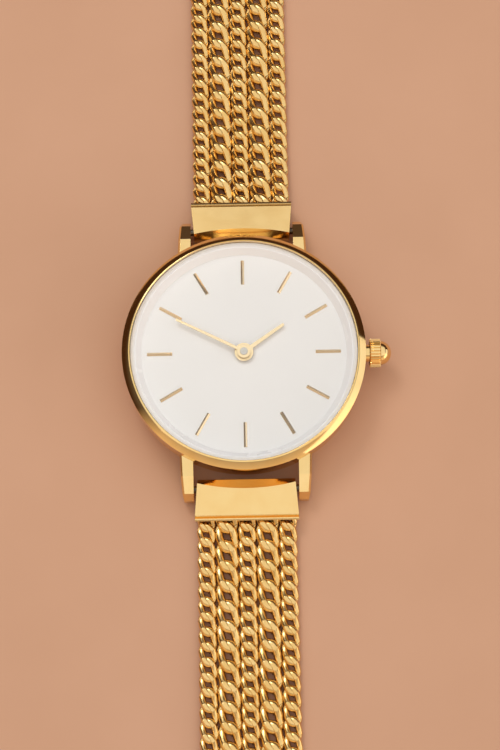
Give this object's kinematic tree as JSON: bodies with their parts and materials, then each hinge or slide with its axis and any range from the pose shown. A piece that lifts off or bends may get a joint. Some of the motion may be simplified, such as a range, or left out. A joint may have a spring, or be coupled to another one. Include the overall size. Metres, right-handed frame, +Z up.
{
  "type": "bracelet watch",
  "caption": "Round slim quartz bracelet watch with stick markers, and a bracelet of parallel curb chains between capped end pieces and a ladder clasp.",
  "frame": {"origin": "centre of the flat case back, on the surface that the watch lies on", "axes": "+Z up through the dial, +Y towards 12 o'clock along the bracelet, +X towards 3 o'clock and the crown"},
  "size_m": [0.0309, 0.187, 0.006],
  "materials": {
    "gold_case": "polished gold plating",
    "gold_cap": "polished gold plating",
    "gold_chain": "polished gold plating with cut flats",
    "gold_clasp": "polished gold plating",
    "gold_marker": "polished",
    "gold_hand": "polished",
    "back_steel": "brushed",
    "seal_rubber": "matt",
    "crystal_glass": "clear",
    "gasket_clear": "translucent white",
    "dial_white": "matt white",
    "holder_plastic": "matt",
    "plate_steel": "grained",
    "dark_steel": "grained",
    "battery_steel": "satin",
    "coil_copper": "enamelled wire",
    "board_green": "solder mask",
    "bar_steel": "polished",
    "wheel_brass": "satin"
  },
  "bodies": {
    "watch_head": {"case_middle": "gold_case", "case_back": "back_steel", "case_back_gasket": "seal_rubber", "bezel": "gold_case", "crystal": "crystal_glass", "crystal_gasket": "gasket_clear", "dial_ring": "dial_white", "dial": "dial_white", "hour_markers": "gold_marker", "movement_holder": "holder_plastic", "main_plate": "plate_steel", "train_bridge": "plate_steel", "bridge_screws": "dark_steel", "battery": "battery_steel", "drive_coil": "coil_copper", "stator": "dark_steel", "circuit_board": "board_green", "oscillator_can": "battery_steel", "stem_tube": "gold_case", "spring_bars": "bar_steel"},
    "minute_hand": {"minute_arbor": "wheel_brass", "minute_hand": "gold_hand"},
    "hour_hand": {"hour_wheel": "wheel_brass", "hour_hand": "gold_hand"},
    "minute_wheel": {"minute_wheel": "wheel_brass"},
    "third_wheel": {"third_wheel": "wheel_brass"},
    "rotor": {"rotor": "dark_steel"},
    "crown_pull": {"setting_lever": "dark_steel"},
    "crown": {"crown": "gold_case", "crown_gasket": "seal_rubber", "setting_stem": "bar_steel"},
    "end_piece_12": {"end_piece_12": "gold_cap", "chain_anchor_12": "gold_chain"},
    "chain_12_1": {"chain_12_1": "gold_chain"},
    "chain_12_2": {"chain_12_2": "gold_chain"},
    "chain_12_3": {"chain_12_3": "gold_chain"},
    "chain_12_4": {"chain_12_4": "gold_chain"},
    "chain_12_5": {"chain_12_5": "gold_chain"},
    "chain_12_6": {"chain_12_6": "gold_chain"},
    "chain_12_7": {"chain_12_7": "gold_chain"},
    "chain_12_8": {"chain_12_8": "gold_chain"},
    "clasp_end_12": {"clasp_end_12": "gold_cap", "clasp_anchor_12": "gold_chain"},
    "end_piece_6": {"end_piece_6": "gold_cap", "chain_anchor_6": "gold_chain"},
    "chain_6_1": {"chain_6_1": "gold_chain"},
    "chain_6_2": {"chain_6_2": "gold_chain"},
    "chain_6_3": {"chain_6_3": "gold_chain"},
    "chain_6_4": {"chain_6_4": "gold_chain"},
    "chain_6_5": {"chain_6_5": "gold_chain"},
    "chain_6_6": {"chain_6_6": "gold_chain"},
    "chain_6_7": {"chain_6_7": "gold_chain"},
    "chain_6_8": {"chain_6_8": "gold_chain"},
    "clasp_end_6": {"clasp_end_6": "gold_cap", "clasp_anchor_6": "gold_chain"},
    "clasp": {"clasp_plate": "gold_clasp", "clasp_pins": "bar_steel"},
    "clasp_lid": {"clasp_lid": "gold_clasp"},
    "clasp_ladder": {"clasp_ladder": "gold_clasp", "ladder_pin": "bar_steel"}
  },
  "joints": [
    {"name": "minute_hand_turn", "type": "hinge", "parent": "watch_head", "child": "minute_hand", "pos_m": [0, 0, 0.0049], "axis": [0, 0, -1], "continuous": true},
    {"name": "hour_hand_turn", "type": "hinge", "parent": "watch_head", "child": "hour_hand", "pos_m": [0, 0, 0.0046], "axis": [0, 0, -1], "continuous": true},
    {"name": "minute_wheel_turn", "type": "hinge", "parent": "watch_head", "child": "minute_wheel", "pos_m": [0, 0.0024, 0.00355], "axis": [0, 0, -1], "continuous": true},
    {"name": "third_wheel_turn", "type": "hinge", "parent": "watch_head", "child": "third_wheel", "pos_m": [-0.00254, -0.00092, 0.00275], "axis": [0, 0, -1], "continuous": true},
    {"name": "rotor_turn", "type": "hinge", "parent": "watch_head", "child": "rotor", "pos_m": [-0.00335, -0.00316, 0.00275], "axis": [0, 0, -1], "continuous": true},
    {"name": "crown_pull", "type": "slide", "parent": "watch_head", "child": "crown_pull", "axis": [1, 0, 0], "range_m": [0, 0.0009]},
    {"name": "crown_turn", "type": "hinge", "parent": "crown_pull", "child": "crown", "pos_m": [0.015, 0, 0.0032], "axis": [1, 0, 0], "continuous": true},
    {"name": "end_piece_12_swing", "type": "hinge", "parent": "watch_head", "child": "end_piece_12", "pos_m": [0, 0.0155, 0.0021], "axis": [-1, 0, 0], "range_deg": [-60, 60]},
    {"name": "chain_12_1_bend", "type": "hinge", "parent": "end_piece_12", "child": "chain_12_1", "pos_m": [0, 0.01976, 0.0012], "axis": [-1, 0, 0], "range_deg": [-12.53, 23.47]},
    {"name": "chain_12_2_bend", "type": "hinge", "parent": "chain_12_1", "child": "chain_12_2", "pos_m": [0, 0.02654, 0.00066], "axis": [-1, 0, 0], "range_deg": [-13.47, 22.53]},
    {"name": "chain_12_3_bend", "type": "hinge", "parent": "chain_12_2", "child": "chain_12_3", "pos_m": [0, 0.03334, 0.00066], "axis": [-1, 0, 0], "range_deg": [-18, 18]},
    {"name": "chain_12_4_bend", "type": "hinge", "parent": "chain_12_3", "child": "chain_12_4", "pos_m": [0, 0.04014, 0.00066], "axis": [-1, 0, 0], "range_deg": [-18, 18]},
    {"name": "chain_12_5_bend", "type": "hinge", "parent": "chain_12_4", "child": "chain_12_5", "pos_m": [0, 0.04694, 0.00066], "axis": [-1, 0, 0], "range_deg": [-18, 18]},
    {"name": "chain_12_6_bend", "type": "hinge", "parent": "chain_12_5", "child": "chain_12_6", "pos_m": [0, 0.05374, 0.00066], "axis": [-1, 0, 0], "range_deg": [-18, 18]},
    {"name": "chain_12_7_bend", "type": "hinge", "parent": "chain_12_6", "child": "chain_12_7", "pos_m": [0, 0.06054, 0.00066], "axis": [-1, 0, 0], "range_deg": [-18, 18]},
    {"name": "chain_12_8_bend", "type": "hinge", "parent": "chain_12_7", "child": "chain_12_8", "pos_m": [0, 0.06734, 0.00066], "axis": [-1, 0, 0], "range_deg": [-14.88, 21.12]},
    {"name": "clasp_end_12_bend", "type": "hinge", "parent": "chain_12_8", "child": "clasp_end_12", "pos_m": [0, 0.07413, 0.00103], "axis": [-1, 0, 0], "range_deg": [-21.12, 14.88]},
    {"name": "end_piece_6_swing", "type": "hinge", "parent": "watch_head", "child": "end_piece_6", "pos_m": [0, -0.0155, 0.0021], "axis": [-1, 0, 0], "range_deg": [-60, 60]},
    {"name": "chain_6_1_bend", "type": "hinge", "parent": "end_piece_6", "child": "chain_6_1", "pos_m": [0, -0.01966, 0.00083], "axis": [-1, 0, 0], "range_deg": [-31.57, 4.43]},
    {"name": "chain_6_2_bend", "type": "hinge", "parent": "chain_6_1", "child": "chain_6_2", "pos_m": [0, -0.02646, 0.00066], "axis": [-1, 0, 0], "range_deg": [-19.43, 16.57]},
    {"name": "chain_6_3_bend", "type": "hinge", "parent": "chain_6_2", "child": "chain_6_3", "pos_m": [0, -0.03326, 0.00066], "axis": [-1, 0, 0], "range_deg": [-18, 18]},
    {"name": "chain_6_4_bend", "type": "hinge", "parent": "chain_6_3", "child": "chain_6_4", "pos_m": [0, -0.04006, 0.00066], "axis": [-1, 0, 0], "range_deg": [-18, 18]},
    {"name": "chain_6_5_bend", "type": "hinge", "parent": "chain_6_4", "child": "chain_6_5", "pos_m": [0, -0.04686, 0.00066], "axis": [-1, 0, 0], "range_deg": [-18, 18]},
    {"name": "chain_6_6_bend", "type": "hinge", "parent": "chain_6_5", "child": "chain_6_6", "pos_m": [0, -0.05366, 0.00066], "axis": [-1, 0, 0], "range_deg": [-18, 18]},
    {"name": "chain_6_7_bend", "type": "hinge", "parent": "chain_6_6", "child": "chain_6_7", "pos_m": [0, -0.06046, 0.00066], "axis": [-1, 0, 0], "range_deg": [-18, 18]},
    {"name": "chain_6_8_bend", "type": "hinge", "parent": "chain_6_7", "child": "chain_6_8", "pos_m": [0, -0.06726, 0.00066], "axis": [-1, 0, 0], "range_deg": [-21.12, 14.88]},
    {"name": "clasp_end_6_bend", "type": "hinge", "parent": "chain_6_8", "child": "clasp_end_6", "pos_m": [0, -0.07405, 0.00103], "axis": [-1, 0, 0], "range_deg": [-14.88, 21.12]},
    {"name": "clasp_swing", "type": "hinge", "parent": "clasp_end_12", "child": "clasp", "pos_m": [0, 0.07848, 0.00118], "axis": [-1, 0, 0], "range_deg": [-60, 60]},
    {"name": "clasp_lid_open", "type": "hinge", "parent": "clasp", "child": "clasp_lid", "pos_m": [0, 0.09348, 0.00118], "axis": [-1, 0, 0], "range_deg": [0, 110]},
    {"name": "clasp_ladder_swing", "type": "hinge", "parent": "clasp_end_6", "child": "clasp_ladder", "pos_m": [0, -0.0784, 0.00118], "axis": [-1, 0, 0], "range_deg": [-60, 60]}
  ],
  "couplings": [
    {"joint": "hour_hand_turn", "follows": "minute_hand_turn", "ratio": 0.083333},
    {"joint": "minute_wheel_turn", "follows": "minute_hand_turn", "ratio": -0.33333},
    {"joint": "third_wheel_turn", "follows": "minute_hand_turn", "ratio": -8},
    {"joint": "rotor_turn", "follows": "minute_hand_turn", "ratio": 60}
  ]
}
